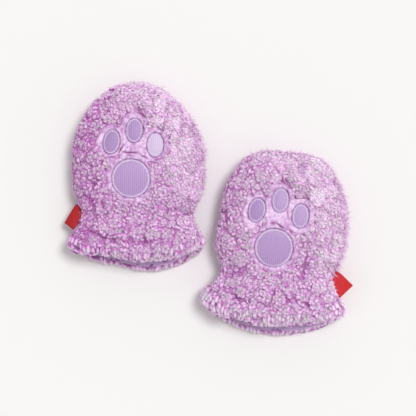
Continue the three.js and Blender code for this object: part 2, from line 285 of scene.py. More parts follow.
# %% Pressed pile
PRESSED_MARGIN = {"pad": 1.7, "toe_1": 2.6, "toe_2": 3.2, "toe_3": 3.2}
PRESSED_FADE = 1.6
LIP_HEIGHT = 1.45
LIP_LEAN = 0.45
WEB = {"across": 0.5, "along": 17.0, "wide": 10.0, "long": 8.0}
PAW_LEAN = 2.9
PAW_MIDDLE = (0.0, 14.0)
MOAT_DEEP = 2.0
HEM_HALF, HEM_BOW, BOW_SHARE = 45.0, 18.5, 0.98


def smooth(value, start, end):
    """Goes softly from 0 at start to 1 at end."""
    share = np.clip((value - start) / (end - start), 0, 1)
    return share * share * (3 - 2 * share)


def pad_outline(side, pad):
    """A pad's middle on the plan, and its outline as sorted angles and how far out it is at each."""
    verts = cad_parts[f"{side}_{pad}"].data.vertices
    plan = to_plan(side, np.array([vert.co for vert in verts]))
    middle = to_plan(side, np.array([box_middle(f"{side}_{pad}")]))[0, :2]
    out = plan[:, :2] - middle
    reach = np.hypot(*out.T)
    angle = np.round(np.arctan2(out[:, 1], out[:, 0]), 2)
    spokes = {}
    for a, r in zip(angle[reach > 2], reach[reach > 2]):
        spokes[a] = max(spokes.get(a, 0), r)
    edge = {}
    for a, r in spokes.items():
        if r > 0.9 * max(q for b, q in spokes.items() if abs(b - a) < 0.3):
            edge[a] = r
    angles = np.array(sorted(edge))
    return middle, angles, np.array([edge[a] for a in angles])


OUTLINES = {(side, pad): pad_outline(side, pad) for side in MITTENS for pad in PRESSED_MARGIN}


def edge_at(side, pad, angles):
    """How far out a pad's edge is at angles round its middle."""
    _, known, reach = OUTLINES[side, pad]
    return np.interp(angles, known, reach, period=2 * math.pi)


def outside_pad(side, pad, plan):
    """How far places on the plan are outside a pad's edge, in millimetres. Inside it is negative."""
    out = plan[:, :2] - OUTLINES[side, pad][0]
    return np.hypot(*out.T) - edge_at(side, pad, np.arctan2(out[:, 1], out[:, 0]))


def uneven(plan, size, seed):
    """A soft wander between -1 and 1 over the plan, for edges that no ruler drew."""
    x, y = plan[:, 0] / size, plan[:, 1] / size
    over = np.sin(x * 1.9 + seed + 1.7 * np.sin(y * 1.3))
    up = np.sin(y * 2.3 + 2 * seed + 1.5 * np.sin(x * 1.1))
    return (over + up) / 2


def hem_edge(side, plan):
    """How far the bowed hem's edge runs ahead of its middle, at places across the plan."""
    share = np.clip(np.abs(plan[:, 0] - MITTENS[side]["middle"]) / HEM_HALF, 0, 1)
    return HEM_BOW * (1 - np.sqrt(1 - BOW_SHARE * share ** 2))


def pressed_at(side, panel, plan):
    """How pressed the pile is at places on a panel's plan, from 0 to 1. The back has no paw, so it is 0."""
    found = np.zeros(len(plan))
    if panel == "back":
        return found
    wander = 1.3 * uneven(plan, 3.1, 1.0 if side == "left" else 4.0)
    for pad, margin in PRESSED_MARGIN.items():
        out = outside_pad(side, pad, plan) + wander
        found = np.maximum(found, 1 - smooth(out, margin, margin + PRESSED_FADE))
    across, _ = turned(plan[:, 0], plan[:, 1], PAW_LEAN)
    out = np.hypot((across - WEB["across"]) / WEB["wide"], (plan[:, 1] - WEB["along"]) / WEB["long"])
    return np.maximum(found, 1 - smooth(out, 0.85, 1.15))


def moat_at(side, plan, pressed):
    """How deep the crevice is where standing pile overhangs the pressed, most of all up and to the right."""
    way = plan[:, :2] - np.array(PAW_MIDDLE)
    way /= np.hypot(*way.T)[:, None]
    facing = np.clip(0.35 + 0.75 * (0.6 * way[:, 0] + 0.8 * way[:, 1]), 0.1, 1)
    ragged = 0.75 + 0.35 * uneven(plan, 2.4, 7.0)
    return MOAT_DEEP * facing * ragged * np.exp(-(((pressed - 0.45) / 0.28) ** 2))


def lip_at(side, plan):
    """How high the pressed pile swells beside the nearest pad, in millimetres: most above the pad."""
    outs = np.array([outside_pad(side, pad, plan) for pad in PRESSED_MARGIN])
    middles = np.array([OUTLINES[side, pad][0] for pad in PRESSED_MARGIN])
    nearest = outs.argmin(axis=0)
    way = plan[:, :2] - middles[nearest]
    way /= np.hypot(*way.T)[:, None]
    swell = LIP_HEIGHT + LIP_LEAN * (0.5 * way[:, 0] + 0.86 * way[:, 1])
    lumps = 0.25 * uneven(plan, 2.2, 3.0) + 0.16 * uneven(plan, 0.9, 6.0)
    return swell * smooth(outs.min(axis=0), -0.3, 0.7) * (1 + lumps)


# %% [markdown]
# ## Creases
#
# Cloth this thick takes few creases, and they are soft. These are listed, on the side that the photo
# shows and on the hidden one: the dip above the hem's roll, where its sewing holds the fleece down, folds
# from the wrist's elastic, and slack by the paw. Each is a trough along a short path.

# %% Creases of the two sides


def trough(name, path, wide, deep):
    """A row of the tables below: a trough along a path on the plan, all in millimetres."""
    return {"name": name, "path": np.array(path, float), "wide": wide, "deep": deep}


CREASES = {
    ("left", "front"): [
        trough(
            "hem roll, left", [(-32.4, -34.7), (-25.7, -35.3), (-18, -39), (-6, -40.8)],
            wide=1.3, deep=2.3,
        ),
        trough("hem roll, right", [(-6, -40.8), (1, -40.6), (8, -42), (20, -39)], wide=1.2, deep=1.5),
        trough("left of the pad", [(-23, -1), (-27.5, -13), (-24, -21)], wide=1.3, deep=2.0),
        trough("wrist, left", [(-19, -15), (-18.4, -22)], wide=1.1, deep=1.3),
        trough("wrist, right", [(29, -19), (40, -23)], wide=1.5, deep=1.5),
        trough("finger end, left", [(-19, 51), (-15, 41)], wide=1.3, deep=1.4),
        trough("above the toes", [(2, 48), (5.2, 43.5), (9.5, 39)], wide=1.2, deep=2.0),
        trough("left side", [(-36, 27), (-24, 22)], wide=1.3, deep=1.2),
    ],
    ("right", "front"): [
        trough("hem roll, left", [(-32, -28.5), (-23.6, -33.3), (-14, -37.7)], wide=1.4, deep=2.1),
        trough("hem roll, right", [(14.7, -30.3), (23.5, -35.4), (31, -34.7)], wide=1.1, deep=1.6),
        trough("right of the pad", [(26.5, 13.6), (22, 5), (22.3, -5), (21, -21)], wide=1.3, deep=2.0),
        trough("wrist, left", [(-30, -21), (-24, -19), (-18, -15.6)], wide=1.4, deep=2.0),
        trough("wrist, middle", [(0.8, -25), (3.2, -32)], wide=1.1, deep=1.4),
        trough("cuff, middle", [(10.4, -31.5), (12.2, -35)], wide=1.2, deep=1.6),
        trough("left of the pad", [(-26.5, 9.5), (-24, 0)], wide=1.2, deep=1.5),
        trough("left side", [(-33.5, 22), (-32, 13)], wide=1.3, deep=1.7),
        trough("above the toes", [(-3.8, 53), (2, 43.5), (6.4, 40.8)], wide=1.2, deep=2.2),
        trough("finger end, left", [(-22, 47), (-14, 40)], wide=1.3, deep=1.2),
    ],
    ("left", "back"): [
        trough("wrist, left", [(-27, -16), (-20, -34)], wide=2.2, deep=0.8),
        trough("wrist, right", [(31, -18), (24, -36)], wide=2.2, deep=0.8),
        trough("palm", [(-8, 20), (20, 10)], wide=2.4, deep=0.5),
        trough("hem roll", [(-30, -44), (30, -45)], wide=2.0, deep=0.6),
    ],
    ("right", "back"): [
        trough("wrist, left", [(-25, -14), (-19, -32)], wide=2.2, deep=0.8),
        trough("wrist, right", [(29, -15), (25, -33)], wide=2.2, deep=0.8),
        trough("palm", [(-14, 6), (12, 22)], wide=2.4, deep=0.5),
        trough("hem roll", [(-28, -41), (31, -42)], wide=2.0, deep=0.6),
    ],
}


def nearest_on_path(path, plan):
    """How far places are from a line of straight parts, and how far along it the nearest point is."""
    runs = np.diff(path, axis=0)
    lengths = np.hypot(*runs.T)
    before = np.concatenate([[0], np.cumsum(lengths)])
    distance, share = np.full(len(plan), np.inf), np.zeros(len(plan))
    for start, run, length, so_far in zip(path, runs, lengths, before):
        along = np.clip(((plan[:, :2] - start) @ run) / length ** 2, 0, 1)
        far = np.hypot(*(plan[:, :2] - (start + along[:, None] * run)).T)
        nearer = far < distance
        distance[nearer] = far[nearer]
        share[nearer] = ((so_far + along * length) / before[-1])[nearer]
    return distance, share


def crease_depth(side, panel, plan):
    """Depth of the creases in millimetres at places on a panel's plan, uneven along each crease."""
    wander = 0.8 * np.column_stack([uneven(plan, 2.6, 5.0), uneven(plan, 2.9, 9.0)])
    depth = np.zeros(len(plan))
    for crease in CREASES[side, panel]:
        distance, share = nearest_on_path(crease["path"], plan[:, :2] + wander)
        along = np.sin(math.pi * (0.15 + 0.7 * share)) * (0.8 + 0.2 * np.sin(share * 11))
        depth += crease["deep"] * along * np.exp(-((distance / crease["wide"]) ** 2))
    return depth


# Sharp little folds in the pressed hollows, where the sewing puckers the ground
FOLDS = {
    "left": [
        trough("over the pad", [(-6.0, 17.0), (4.5, 16.6)], wide=0.42, deep=1.5),
        trough("round the pad", [(4.5, 16.6), (11.5, 12.6)], wide=0.42, deep=1.1),
        trough("beside the first toe", [(-8.3, 16.4), (-5.4, 20.8)], wide=0.42, deep=1.6),
        trough("under the first toe", [(-16.0, 13.2), (-9.5, 14.2)], wide=0.42, deep=1.2),
        trough("right of the pad", [(13.5, 10.0), (17.5, 6.0)], wide=0.7, deep=1.4),
        trough("under the third toe", [(14.5, 12.0), (23.5, 14.2)], wide=0.4, deep=0.9),
        trough("between the toes", [(8.2, 29.0), (7.2, 35.5)], wide=0.6, deep=0.8),
    ],
    "right": [
        trough("over the pad", [(-4.0, 16.2), (0.4, 16.3)], wide=0.42, deep=1.4),
        trough("round the pad", [(0.4, 16.3), (5.6, 13.4)], wide=0.42, deep=1.6),
        trough("under the first toe", [(-8.7, 16.5), (-8.4, 12.0)], wide=0.42, deep=1.2),
        trough("left of the pad", [(-14.6, 8.2), (-9.6, 9.2)], wide=0.45, deep=1.3),
        trough("between the toes", [(-7.6, 29.5), (-8.6, 36.0)], wide=0.6, deep=0.8),
        trough("beside the third toe", [(7.6, 19.0), (6.6, 26.0)], wide=0.5, deep=0.8),
    ],
}


def fold_depth(side, plan):
    """Depth of the sharp folds at places on the front's plan."""
    depth = np.zeros(len(plan))
    for fold in FOLDS[side]:
        distance, share = nearest_on_path(fold["path"], plan)
        along = np.sin(math.pi * (0.1 + 0.8 * share))
        depth += fold["deep"] * along * np.exp(-((distance / fold["wide"]) ** 2))
    return depth


print("creases:", {" ".join(key): len(rows) for key, rows in CREASES.items()})

# %% [markdown]
# ## The walls
#
# The pile is sown on the outside of each fleece wall, so its faces are told from those of the inner side by
# their direction from the hollow's middle.

# %% Outside of the walls
PANELS = [(side, panel) for side in MITTENS for panel in ("front", "back")]
HEART = {"half": 24, "over_hem": 16, "under_tip": 34}


def merged_copy(node):
    """A bmesh of a solid's own mesh, with its loose triangles joined."""
    work = bmesh.new()
    work.from_mesh(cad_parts[node].data)
    bmesh.ops.remove_doubles(work, verts=work.verts, dist=0.002 * MM)
    work.normal_update()
    return work


def heart_of(side, plan):
    """For each place on the plan, the nearest place on the line inside the mitten's hollow."""
    own = MITTENS[side]
    middle = own["middle"]
    across = middle + np.clip(plan[:, 0] - middle, -HEART["half"], HEART["half"])
    along = np.clip(plan[:, 1], own["hem"] + HEART["over_hem"], own["tip"] - HEART["under_tip"])
    return np.column_stack([across, along, np.full(len(plan), SEAM_HEIGHT)])


def is_outside(side, places, normals):
    """Whether faces with these middles and normals are on the outside of the wall."""
    plan = to_plan(side, places)
    from_heart = plan - heart_of(side, plan)
    nx, ny = turned(normals[:, 0], normals[:, 1], MITTENS[side]["turn"])
    return from_heart[:, 0] * nx + from_heart[:, 1] * ny + from_heart[:, 2] * normals[:, 2] > 0.6


def outer_faces(side, work):
    """The faces of a fleece wall that carry pile."""
    places = np.array([face.calc_center_median() for face in work.faces])
    normals = np.array([face.normal for face in work.faces])
    return [face for face, out in zip(work.faces, is_outside(side, places, normals)) if out]


# %% [markdown]
# ## Scattering
#
# The locks stand evenly but at random, so candidate points fall all over the panel and each is kept only if
# no kept one is too near. Sowing them in a grid would show as rows. Each place also gets the wall's smooth
# normal, which the locks stand along.

# %% Scatter points on a panel
CANDIDATES = 7


def scatter(side, panel, spacing, seed):
    """Places and normals on the outside of a fleece wall, no two nearer than spacing in millimetres."""
    work = merged_copy(f"{side}_{panel}")
    faces = outer_faces(side, work)
    corners = np.array([[vert.co for vert in face.verts] for face in faces])
    bends = np.array([[vert.normal for vert in face.verts] for face in faces])
    areas = np.array([face.calc_area() for face in faces])
    work.free()
    random = np.random.default_rng(seed)
    count = int(areas.sum() / (spacing * MM) ** 2 * CANDIDATES)
    chosen = random.choice(len(faces), count, p=areas / areas.sum())
    first, second = np.sqrt(random.random(count)), random.random(count)
    weights = np.column_stack([1 - first, first * (1 - second), first * second])
    places = np.einsum("nc,ncx->nx", weights, corners[chosen])
    normals = np.einsum("nc,ncx->nx", weights, bends[chosen])
    normals /= np.linalg.norm(normals, axis=1)[:, None]
    cells, kept = {}, []
    keys = np.floor(places / (spacing * MM)).astype(int)
    near = [(i, j, k) for i in (-1, 0, 1) for j in (-1, 0, 1) for k in (-1, 0, 1)]
    for number, (a, b, c) in enumerate(keys):
        close = [m for i, j, k in near for m in cells.get((a + i, b + j, c + k), ())]
        if close and (np.square(places[close] - places[number]).sum(axis=1) < (spacing * MM) ** 2).any():
            continue
        cells.setdefault((a, b, c), []).append(number)
        kept.append(number)
    return places[kept], normals[kept], random


# %% [markdown]
# ## Tufts
#
# Pile mats into tufts of about nine millimetres, with a sunken parting between two tufts, whose locks are
# painted darker as shade. Tuft middles are scattered as well. The ground and the locks both follow the
# tufts' relief, and a lock near a parting leans in towards its tuft's middle.

# %% Tufts
TUFT = 8.2
DARK_DEPTH = 1.6
PARTING = 1.7


def nap_open_and_lit_share(side, plan):
    """How far the nap is combed open at places on the plan, 0 to 1: most at each mitten's upper right.
    That side faces the sun, so the same share also paints the fleece paler there, as painted light.
    """
    own = MITTENS[side]
    outwards = 0.88 * (plan[:, 0] - own["middle"]) + 0.48 * (plan[:, 1] - own["tip"] + 70)
    return smooth(outwards, 5, 38)


def tufts_of(side, panel, seed):
    """The tufts of a panel: their middles in a tree, and how far each stands out."""
    middles, _, random = scatter(side, panel, TUFT, seed)
    tree = KDTree(len(middles))
    for number, middle in enumerate(middles):
        tree.insert(middle, number)
    tree.balance()
    return tree, random.uniform(-0.4, 1.4, len(middles))


TUFTS = {key: tufts_of(*key, seed=61 + number) for number, key in enumerate(PANELS)}


def tuft_relief(side, panel, places):
    """At each place: the way to its tuft's middle, how near a parting it is, 0 to 1, and its rise in mm."""
    tree, stands = TUFTS[side, panel]
    towards = np.zeros_like(places)
    parting, stand = np.zeros(len(places)), np.zeros(len(places))
    for number, place in enumerate(places):
        (near, tuft, first), (_, other, second) = tree.find_n(place, 2)
        towards[number] = np.array(near) - place
        between = min(1.0, (second - first) / (0.4 * TUFT * MM))
        parting[number] = 1 - between
        stand[number] = stands[tuft] * (0.5 + 0.5 * between) + stands[other] * (0.5 - 0.5 * between)
    towards /= np.linalg.norm(towards, axis=1)[:, None] + 1e-9
    low = smooth(to_plan(side, places)[:, 2], 3, 12)
    return towards, parting, (stand - PARTING * parting ** 1.6) * low


# %% [markdown]
# ## The fleece's ground
#
# Under the pile is a knitted ground that the pile is caught in. Each fleece solid reaches to the pile's tips,
# so its copy is drawn in by the pile's depth, and lifted again where the pile is pressed. The copy keeps the
# wall's inner side. A new shell could be lofted, but the solid already has the garment's form.

# %% Ground shells
PILE_DEEP = 1.5
COMBED_DEEP = 1.15
PRESSED_DEEP = 0.35
RESTING_HEIGHT, RESTING_SHARE = 1.2, 0.35
HEM_LOCKS_END = 12.0


def cut_finer(work, faces):
    """Halves the edges of faces."""
    edges = list({edge for face in faces for edge in face.edges})
    bmesh.ops.subdivide_edges(work, edges=edges, cuts=1, use_grid_fill=True)


def ground_shell(side, panel):
    """The fleece's ground: the solid's wall, drawn in by its pile's depth."""
    work = merged_copy(f"{side}_{panel}")
    cut_finer(work, outer_faces(side, work))
    if panel == "front":
        for threshold in (0.05, 0.5):
            middles = to_plan(side, np.array([face.calc_center_median() for face in work.faces]))
            smooth_zone = (pressed_at(side, panel, middles) > threshold) & (middles[:, 2] > 18)
            cut_finer(work, [face for face, chosen in zip(work.faces, smooth_zone) if chosen])
    bmesh.ops.triangulate(work, faces=work.faces)
    mark = work.verts.layers.float.new("pressed")
    open_and_lit_mark = work.verts.layers.float.new("combed_and_lit")
    shade_mark = work.verts.layers.float.new("shade")
    work.normal_update()
    skin = list({vert for face in outer_faces(side, work) for vert in face.verts})
    places = np.array([vert.co for vert in skin])
    plan = to_plan(side, places)
    pressed = pressed_at(side, panel, plan)
    # The combed mark paints the ground paler: painted light where it is combed, facing the sun, and paler on
    # the hem.
    combed_and_lit = nap_open_and_lit_share(side, plan)
    hem_zone = smooth(MITTENS[side]["hem"] + hem_edge(side, plan) + HEM_LOCKS_END - plan[:, 1], 0, 4)
    _, _, rise = tuft_relief(side, panel, places)
    piled = PILE_DEEP + (COMBED_DEEP - PILE_DEEP) * combed_and_lit - rise
    deep = piled * (1 - pressed) + (PRESSED_DEEP - lip_at(side, plan)) * pressed
    folds = fold_depth(side, plan) * pressed
    moat = moat_at(side, plan, pressed) * (pressed > 0)
    creased = crease_depth(side, panel, plan)
    deep += creased * (0.8 - 0.5 * pressed) + folds + moat
    deep[plan[:, 2] < RESTING_HEIGHT] *= RESTING_SHARE
    # Painted shade: the bottoms of folds, moats and creases are painted towards the dark crevice colour.
    shade = np.clip(0.9 * folds + 0.8 * moat + 0.5 * creased, 0, 1)
    normals = np.array([vert.normal for vert in skin])
    for number, vert in enumerate(skin):
        vert[mark] = pressed[number]
        vert[shade_mark] = shade[number]
        vert[open_and_lit_mark] = max(combed_and_lit[number], 0.5 * hem_zone[number])
        vert.co -= Vector(normals[number] * deep[number] * MM)
    return piece_from(f"{side}_{panel}_ground", work)


grounds = {}
for side, panel in PANELS:
    shell = ground_shell(side, panel)
    grounds[side, panel] = shell
    surface = sum(polygon.area for polygon in shell.data.polygons)
    print(shell.name, len(shell.data.polygons), "triangles,", round(surface / 2 * 1e4, 1), "cm2 a layer")

# %% [markdown]
# ## Locks of pile
#
# Sherpa fleece is covered in little curls of fine fibre, two or three millimetres across. Real hair could be
# combed for it, but a curl that holds together reads as one soft lump, so each lock is a short thick thread
# wound by spin like a spring, or bent over like a hook. A few such locks are copied thousands of times.

# %% Templates of the locks


def template(work):
    """A lock's points, triangles and how near each point is to its tip, from a bmesh in millimetres."""
    bmesh.ops.remove_doubles(work, verts=work.verts, dist=0.001)
    bmesh.ops.holes_fill(work, edges=work.edges, sides=8)
    bmesh.ops.recalc_face_normals(work, faces=work.faces)
    bmesh.ops.triangulate(work, faces=work.faces)
    work.verts.index_update()
    verts = np.array([vert.co for vert in work.verts])
    tris = np.array([[vert.index for vert in face.verts] for face in work.faces])
    tip = (verts[:, 2] - verts[:, 2].min()) / np.ptp(verts[:, 2])
    work.free()
    return {"verts": verts, "tris": tris, "tip": tip, "top": verts[:, 2].max()}


def wound_lock(thick, sweep, rise, turns, steps, sides=5):
    """A thick thread wound up round the z axis and drawn in towards its tip."""
    work = bmesh.new()
    bmesh.ops.create_circle(work, segments=sides, radius=thick, cap_ends=True)
    bmesh.ops.rotate(work, verts=work.verts, matrix=Matrix.Rotation(math.radians(90), 3, "X"))
    bmesh.ops.translate(work, verts=work.verts, vec=(sweep, 0, 0))
    geom = work.verts[:] + work.edges[:] + work.faces[:]
    bmesh.ops.spin(
        work, geom=geom, axis=(0, 0, 1), dvec=(0, 0, rise / steps),
        angle=2 * math.pi * turns, steps=steps,
    )
    top = rise + thick
    for vert in work.verts:
        share = max(0.0, vert.co.z / top)
        squeeze = 1 - 0.25 * share ** 3
        vert.co.x *= squeeze
        vert.co.y *= squeeze
    bmesh.ops.translate(work, verts=work.verts, vec=(0, 0, thick * 0.4))
    return template(work)


def hooked_lock(thick, radius, bend, steps, sides=5):
    """A thick thread that stands up and bends over, thinner at its tip."""
    work = bmesh.new()
    bmesh.ops.create_circle(work, segments=sides, radius=thick, cap_ends=True)
    geom = work.verts[:] + work.edges[:] + work.faces[:]
    bmesh.ops.spin(
        work, geom=geom, cent=(radius, 0, 0), axis=(0, 1, 0),
        angle=math.radians(bend), steps=steps,
    )
    for vert in work.verts:
        aside = math.atan2(vert.co.z, radius - vert.co.x)
        share = max(0.0, min(1.0, aside / math.radians(bend)))
        line = Vector((radius - radius * math.cos(aside), 0, radius * math.sin(aside)))
        vert.co = line + (vert.co - line) * (1 - 0.35 * share ** 3)
    bmesh.ops.translate(work, verts=work.verts, vec=(-radius * 0.8, 0, thick * 0.3))
    return template(work)


LOCKS = [
    wound_lock(thick=1.15, sweep=0.45, rise=0.45, turns=1.0, steps=6, sides=6),
    wound_lock(thick=1.0, sweep=0.62, rise=0.6, turns=-0.95, steps=6, sides=6),
    hooked_lock(thick=1.05, radius=1.0, bend=135, steps=4, sides=5),
    hooked_lock(thick=0.92, radius=1.45, bend=120, steps=5, sides=5),
    hooked_lock(thick=1.15, radius=2.0, bend=95, steps=4, sides=5),
]
KNOTS, LONG_LOCK = (0, 1, 2, 3), 4
print("lock triangles:", [len(lock["tris"]) for lock in LOCKS])

# %% Turns and joined copies of the locks


def aimed_frames(normals, leans, aims):
    """A turn for each lock: its z along the normal and lean, its x along its aim."""
    up = normals + leans
    up /= np.linalg.norm(up, axis=1)[:, None]
    aims = aims - (aims * up).sum(axis=1)[:, None] * up
    aims /= np.linalg.norm(aims, axis=1)[:, None]
    return np.stack([aims, np.cross(up, aims), up], axis=2)


def turned_frames(normals, leans, random):
    """As aimed_frames, with each lock's x any way round."""
    return aimed_frames(normals, leans, random.normal(size=normals.shape))


def joined_copies(name, templates, kinds, frames, sizes, places, tints, sunk=None):
    """One mesh of a template's copy at each place, with attributes tip and tint.

    The tip is 1 where a lock reaches the pile's surface and 0 at DARK_DEPTH under it.
    """
    verts, tris, tips, shades, start = [], [], [], [], 0
    for kind, lock in enumerate(templates):
        chosen = np.flatnonzero(kinds == kind)
        if not len(chosen):
            continue
        laid = np.einsum("nij,nvj->nvi", frames[chosen], lock["verts"][None] * sizes[chosen, None, :] * MM)
        laid += places[chosen, None, :]
        offsets = start + np.arange(len(chosen)) * len(lock["verts"])
        verts.append(laid.reshape(-1, 3))
        tris.append((lock["tris"][None] + offsets[:, None, None]).reshape(-1, 3))
        if sunk is None:
            tips.append(np.tile(lock["tip"], len(chosen)))
        else:
            under = (lock["top"] - lock["verts"][None, :, 2]) * sizes[chosen, None, 2] + sunk[chosen, None]
            tips.append(np.clip(1 - under / DARK_DEPTH, 0, 1).reshape(-1))
        shades.append(np.repeat(tints[chosen], len(lock["verts"])))
        start += len(chosen) * len(lock["verts"])
    verts = np.concatenate(verts)
    verts[:, 2] = np.maximum(verts[:, 2], 0.02 * MM)
    mesh = bpy.data.meshes.new(name)
    mesh.from_pydata(verts.tolist(), [], np.concatenate(tris).tolist())
    for mark, values in (("tip", tips), ("tint", shades)):
        mesh.attributes.new(mark, "FLOAT", "POINT").data.foreach_set("value", np.concatenate(values))
    print(name, len(kinds), "copies,", len(mesh.polygons), "triangles")
    return shown_as(name, mesh)


# %% [markdown]
# ## Growing the pile
#
# Every panel gets its own pile. On the hem's roll the locks hang long over the edge. Beside the pressed
# hollows they stand a little higher, and on the underside the table flattens them.

# %% Pile of the four panels
LOCK_SPACING = {"front": 1.76, "back": 2.0}
LOCK_SIZES = {"front": (0.98, 1.5), "back": (1.078, 1.65)}
KNOT_SHARES = (0.34, 0.3, 0.2, 0.16)
HEM_REACH = 1.3
NAP_FALL = (0.8, -0.6, 0)
HEM_STRETCH, LYING_STRETCH, RESTING_STRETCH = (1.2, 1.05, 0.95), (1.1, 0.75, 0.7), (1.15, 1.15, 0.5)
TINTS = {"random": 0.75, "even": 0.7, "parting": -5.5, "creased": -5.0, "combed_and_lit": 8.5, "hem": 3.5}
SHADE = {"from": 14, "to": 40, "left": -3.2, "right": 1.6}


def grow_pile(side, panel, seed):
    """The locks of one fleece panel, as one piece."""
    places, normals, random = scatter(side, panel, LOCK_SPACING[panel], seed)
    plan = to_plan(side, places)
    pressed = pressed_at(side, panel, plan)

    # Few locks stand in the pressed hollows or in a deep crease
    keep = pressed < 0.36 + 0.2 * random.random(len(plan))
    keep &= crease_depth(side, panel, plan) < 1.1 + 0.6 * random.random(len(plan))
    places, normals, plan, pressed = places[keep], normals[keep], plan[keep], pressed[keep]
    count = len(places)

    # Every lock: how far it stands out, its size, its kind and its lean towards its tuft's middle
    towards, parting, rise = tuft_relief(side, panel, places)
    rise += 0.6 * smooth(pressed, 0.02, 0.4)
    creased = crease_depth(side, panel, plan)
    nap = nap_open_and_lit_share(side, plan)
    combed_and_lit = nap * (plan[:, 2] > 3)
    sunk = 1.1 * creased + 0.35 * random.random(count) ** 2
    sunk += 0.3 * nap
    size = random.uniform(*LOCK_SIZES[panel], count) * (1 - 0.12 * parting)
    sizes = np.column_stack([size, size, size * random.uniform(0.78, 0.98, count)])
    kinds = random.choice(KNOTS, count, p=KNOT_SHARES)
    leans = 0.35 * random.normal(size=(count, 3)) + 0.4 * parting[:, None] * towards
    frames = turned_frames(normals, leans, random)

    # Long locks hang over the hem's roll
    down = direction_from_plan(side, 0, -1, 0)
    hem_line = hem_edge(side, plan) + HEM_LOCKS_END
    on_hem = (plan[:, 1] - MITTENS[side]["hem"] < hem_line) & (normals[:, 2] > -0.3)
    on_hem &= random.random(count) < 0.75
    aims = down + 0.18 * random.normal(size=(count, 3))
    frames[on_hem] = aimed_frames(normals, 0.15 * random.normal(size=(count, 3)), aims)[on_hem]
    kinds[on_hem] = LONG_LOCK
    reach = hem_reach(side, plan)
    sizes[on_hem] *= HEM_STRETCH
    sizes[on_hem, 0] *= 1 + 0.2 * reach[on_hem]
    places = places + np.where(on_hem, reach, 0)[:, None] * down * HEM_REACH * MM
    ends = smooth(np.abs(plan[:, 0] - MITTENS[side]["middle"]), 26, 42)
    rise[on_hem] += 0.5 + 1.0 * ends[on_hem]

    # Where the nap is combed open some lie along its fall, and the table flattens those under the mitten
    lying = (random.random(count) < 0.3 * combed_and_lit) & ~on_hem
    fall = direction_from_plan(side, *NAP_FALL) + 0.35 * random.normal(size=(count, 3))
    frames[lying] = aimed_frames(normals, 0.2 * random.normal(size=(count, 3)), fall)[lying]
    kinds[lying] = LONG_LOCK
    sizes[lying] *= LYING_STRETCH
    flat = plan[:, 2] < 1.0
    sizes[flat] *= RESTING_STRETCH
    sunk[flat] = 0

    root = np.array([lock["top"] for lock in LOCKS])[kinds] * sizes[:, 2] + sunk - rise
    places = places - normals * root[:, None] * MM

    # Tints: painted shade darkens the partings, the creases and the left mitten's left side, away from the
    # sun;
    # painted light makes the combed side, which faces the sun, paler; the hem and the right mitten are paler
    # too
    shaded = smooth(MITTENS[side]["middle"] - plan[:, 0], SHADE["from"], SHADE["to"]) if side == "left" else 1
    tints = random.normal(0, TINTS["random"], count) + TINTS["even"] + SHADE[side] * shaded
    tints += TINTS["parting"] * parting ** 2 + TINTS["creased"] * creased
    tints += TINTS["combed_and_lit"] * combed_and_lit + TINTS["hem"] * on_hem
    return joined_copies(f"{side}_{panel}_pile", LOCKS, kinds, frames, sizes, places, tints, 0.3 * sunk)


def hem_reach(side, plan):
    """How much farther than elsewhere the hem's pile hangs out: left of the opening more, right less."""
    if side == "left":
        return smooth(-plan[:, 0], 10, 16)
    return -smooth(plan[:, 0], 6, 20)


piles = {key: grow_pile(*key, seed=11 + number) for number, key in enumerate(PANELS)}

# %% [markdown]
# ## Loose fibres
#
# Single fibres stand out of the locks and give the fleece its haze, most of all round the outline. Each is a
# long three-sided spike with a bend, and costs ten triangles.

# %% Fuzz


def bent_fibre(long, thick, bend):
    """A thin spike that bends over at its middle."""
    work = bmesh.new()
    bmesh.ops.create_cone(work, cap_ends=True, segments=3, radius1=thick, radius2=0, depth=long)
    bmesh.ops.remove_doubles(work, verts=work.verts, dist=thick * 0.1)
    bmesh.ops.translate(work, verts=work.verts, vec=(0, 0, long / 2))
    rising = [edge for edge in work.edges if abs(edge.verts[0].co.z - edge.verts[1].co.z) > long / 2]
    bmesh.ops.subdivide_edges(work, edges=rising, cuts=1)
    for vert in work.verts:
        vert.co.x += bend * (vert.co.z / long) ** 2
    return template(work)


FIBRES = [bent_fibre(2.6, 0.06, 0.7), bent_fibre(2.2, 0.06, 1.2), bent_fibre(3.2, 0.06, 1.5)]
WISPS = [bent_fibre(4.4, 0.32, 1.2), bent_fibre(3.6, 0.36, 0.8)]
FUZZ_SPACING = {"front": 0.82, "back": 2.1}


def grow_fuzz(side, panel, seed):
    """The loose fibres of one fleece panel, as one piece."""
    places, normals, random = scatter(side, panel, FUZZ_SPACING[panel], seed)
    plan = to_plan(side, places)
    pressed = pressed_at(side, panel, plan)
    combed_and_lit = nap_open_and_lit_share(side, plan)
    keep = (pressed < 0.5) & (plan[:, 2] > 0.8)
    if panel == "front":
        keep &= random.random(len(plan)) < 0.25 + 0.4 * combed_and_lit
    places, normals, combed_and_lit = places[keep], normals[keep], combed_and_lit[keep]
    count = len(places)
    size = random.uniform(0.7, 1.2, count)
    sizes = np.column_stack([size, size, size])
    fall = direction_from_plan(side, *NAP_FALL)
    leans = 0.65 * random.normal(size=(count, 3)) + 1.3 * combed_and_lit[:, None] * fall
    frames = turned_frames(normals, leans, random)
    wispy = random.random(count) < 0.6 * combed_and_lit
    wisps = len(FIBRES) + random.choice(len(WISPS), count)
    kinds = np.where(wispy, wisps, random.choice(len(FIBRES), count))
    roots = places - normals * (0.9 * MM)
    # Painted light: fibres on the combed side, which faces the sun, are tinted paler.
    tints = random.normal(0, 1, count) + 8 * combed_and_lit
    return joined_copies(f"{side}_{panel}_fuzz", FIBRES + WISPS, kinds, frames, sizes, roots, tints)


fuzz = {key: grow_fuzz(*key, seed=31 + number) for number, key in enumerate(PANELS)}

# %% [markdown]
# ## Pressed pile
#
# In the hollows the sewing has pressed the fibres flat, any way round. They are the same spikes, laid down.

# %% Pressed fibres
PRESSED_SPACING = 0.85


